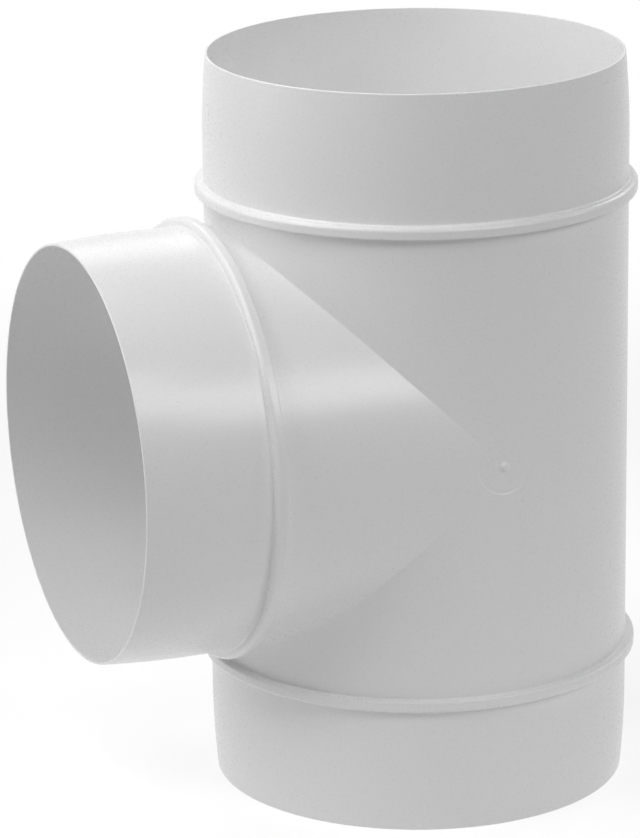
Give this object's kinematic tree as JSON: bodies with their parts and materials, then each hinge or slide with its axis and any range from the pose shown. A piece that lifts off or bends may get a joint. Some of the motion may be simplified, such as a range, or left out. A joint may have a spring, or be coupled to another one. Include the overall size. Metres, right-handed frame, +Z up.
{
  "type": "duct tee",
  "caption": "Equal plastic duct tee: a straight run with a side branch of the same bore, and at each mouth a plain push-in spigot with a raised stop bead.",
  "frame": {"origin": "centre of the bottom mouth, on the axis of the run, in the plane of the bottom rim that it stands on", "axes": "+Z up along the axis of the run, -X along the branch towards its mouth, -Y towards the side with the gate mark"},
  "size_m": [0.1389, 0.1042, 0.1755],
  "materials": {
    "white_plastic": "satin"
  },
  "bodies": {
    "root": {"duct_tee": "white_plastic"}
  },
  "joints": []
}
